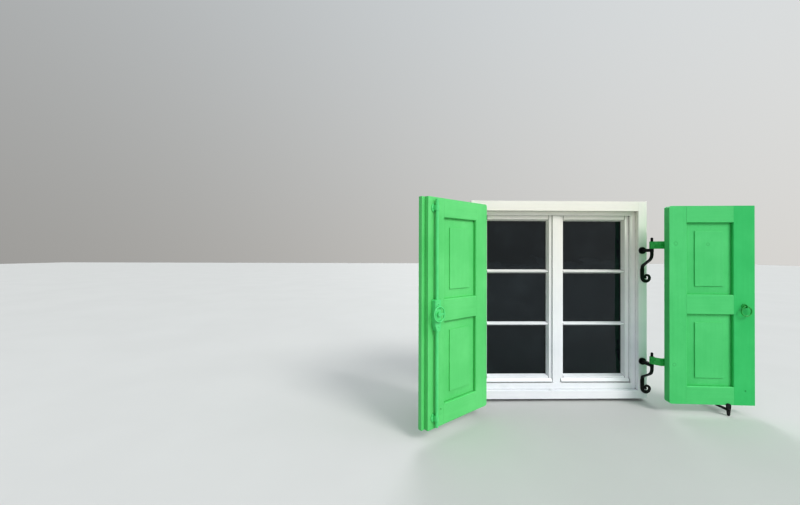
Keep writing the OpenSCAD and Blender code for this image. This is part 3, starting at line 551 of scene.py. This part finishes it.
def window_glass():
    """Panes tinted near black as painted shade of the dark room behind them, with dust, a dirty
    rim and the slight waves of drawn glass.
    """
    glass = Material("pane_glass", roughness=0.02, specular=0.5)
    glass.set("IOR", 1.52)
    glass.set("Transmission Weight", 0.75)
    dust = glass.noise(glass.coords(), scale=7.0, detail=6.0, rough=0.6)
    tone = glass.mix(glass.ramp(dust, 0.40, 0.85), *GLASS_SHADE_TONES)
    rim = glass.crevice(GLASS_RIM_REACH)
    glass.set("Base Color", glass.over(tone, GLASS_RIM, rim, (0.20, 0.70), GLASS_RIM_SHARE))
    streak = glass.noise(glass.coords((60.0, 60.0, 4.0)), detail=3.0)
    glass.set("Roughness", glass.scaled(glass.ramp(streak, 0.4, 0.8), 0.0, 0.05))
    wave = glass.noise(glass.coords((1.0, 1.0, 1.6)), scale=4.5, detail=1.5)
    glass.bump((wave, GLASS_WAVE_DEPTH))
    return glass.made


# Dressing of the CAD nodes

LEVEL_MEMBERS = ("rail", "head", "sill", "bars")
BOLT_PARTS = ("bolt", "rod", "keeper")


def make_materials():
    """Materials by what they cover, and by direction of the grain on wood."""
    made = {
        "right_meeting_board": right_meeting_board(),
        "bolt_iron": bolt_iron(),
        "green_iron": strap_iron(),
        "black_iron": black_iron(),
        "white_iron": white_iron(),
        "pane_glass": window_glass(),
    }
    for direction in ("x", "z"):
        made["left", direction] = left_leaf_wood(direction)
        made["right", direction] = right_leaf_wood(direction)
        made["white_wood", direction] = window_wood(direction)
    return made


def has_word(name, words):
    return any(word in name for word in words)


def material_of(name, made):
    slot = SLOT_OF[name]
    direction = "x" if has_word(name, LEVEL_MEMBERS) else "z"
    if name == "right_meeting_stile":
        return made["right_meeting_board"]
    if slot == "green_wood":
        return made[name.split("_")[0], direction]
    if slot == "white_wood":
        return made[slot, direction]
    if slot == "green_iron" and has_word(name, BOLT_PARTS):
        return made["bolt_iron"]
    return made[slot]


def dress(made):
    for name, node in nodes.items():
        node.data.materials.clear()
        node.data.materials.append(material_of(name, made))


# Radius that paint and use give to the edges, in metres, and the steps in which it is rounded
EDGE_OF = {
    "green_wood": (0.0009, 2), "white_wood": (0.0009, 2), "green_iron": (0.0010, 2),
    "black_iron": (0.0016, 3), "white_iron": (0.0006, 2), "pane_glass": (0.0004, 1),
}
EDGE_ANGLE = math.radians(32.0)
WELD_REACH = 0.00001
NORMAL_WEIGHT = 80


def round_edges(piece, width, steps):
    bevel = piece.modifiers.new("bevel", "BEVEL")
    bevel.width = width
    bevel.segments = steps
    bevel.limit_method = "ANGLE"
    bevel.angle_limit = EDGE_ANGLE


def soften_edges():
    for name, node in nodes.items():
        weld = node.modifiers.new("weld", "WELD")
        weld.merge_threshold = WELD_REACH
        round_edges(node, *EDGE_OF[SLOT_OF[name]])
        smooth = node.modifiers.new("normals", "WEIGHTED_NORMAL")
        smooth.keep_sharp = False
        smooth.weight = NORMAL_WEIGHT


# Drip beads of the sashes

# Section of the bead that throws rain clear of the sill: depth from the rail's face, then height
BEAD_SECTION = (
    (0.0005, 0.0810), (-0.0062, 0.0810), (-0.0066, 0.0826), (-0.0082, 0.0826),
    (-0.0086, 0.0810), (-0.0102, 0.0812), (-0.0112, 0.0824), (-0.0116, 0.0842),
    (-0.0113, 0.0862), (-0.0102, 0.0884), (-0.0084, 0.0910), (-0.0062, 0.0938),
    (-0.0042, 0.0966), (-0.0026, 0.0990), (0.0005, 0.0998),
)
BEAD_FACE_Y = -0.0025
BEAD_IN_X = 0.0255
BEAD_OUT_X = 0.4080
BEAD_EDGE = (0.0004, 2)


def add_drip_bead(side, toward, material):
    """A moulding on the foot of one sash, from the mullion to the jamb."""
    corners = [
        (x * toward, BEAD_FACE_Y + depth, height)
        for x in (BEAD_IN_X, BEAD_OUT_X) for depth, height in BEAD_SECTION]
    count = len(BEAD_SECTION)
    faces = [tuple(range(count))[::-1], tuple(range(count, 2 * count))]
    for at in range(count):
        after = (at + 1) % count
        faces.append((at, after, count + after, count + at))
    if toward < 0:
        faces = [face[::-1] for face in faces]
    mesh = bpy.data.meshes.new(f"sash_{side}_drip_bead")
    mesh.from_pydata(corners, [], faces)
    mesh.materials.append(material)
    bead = put_in_scene(f"sash_{side}_drip_bead", mesh)
    round_edges(bead, *BEAD_EDGE)
    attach(bead, f"sash_{side}")


add_camera()
add_world()
add_lights()
add_floor(cad_low.z - FLOOR_DROP)
materials = make_materials()
dress(materials)
soften_edges()
add_drip_bead("left", -1.0, materials["white_wood", "x"])
add_drip_bead("right", 1.0, materials["white_wood", "x"])

bpy.context.scene.view_settings.view_transform = "Standard"
bpy.context.scene.view_settings.look = "High Contrast"
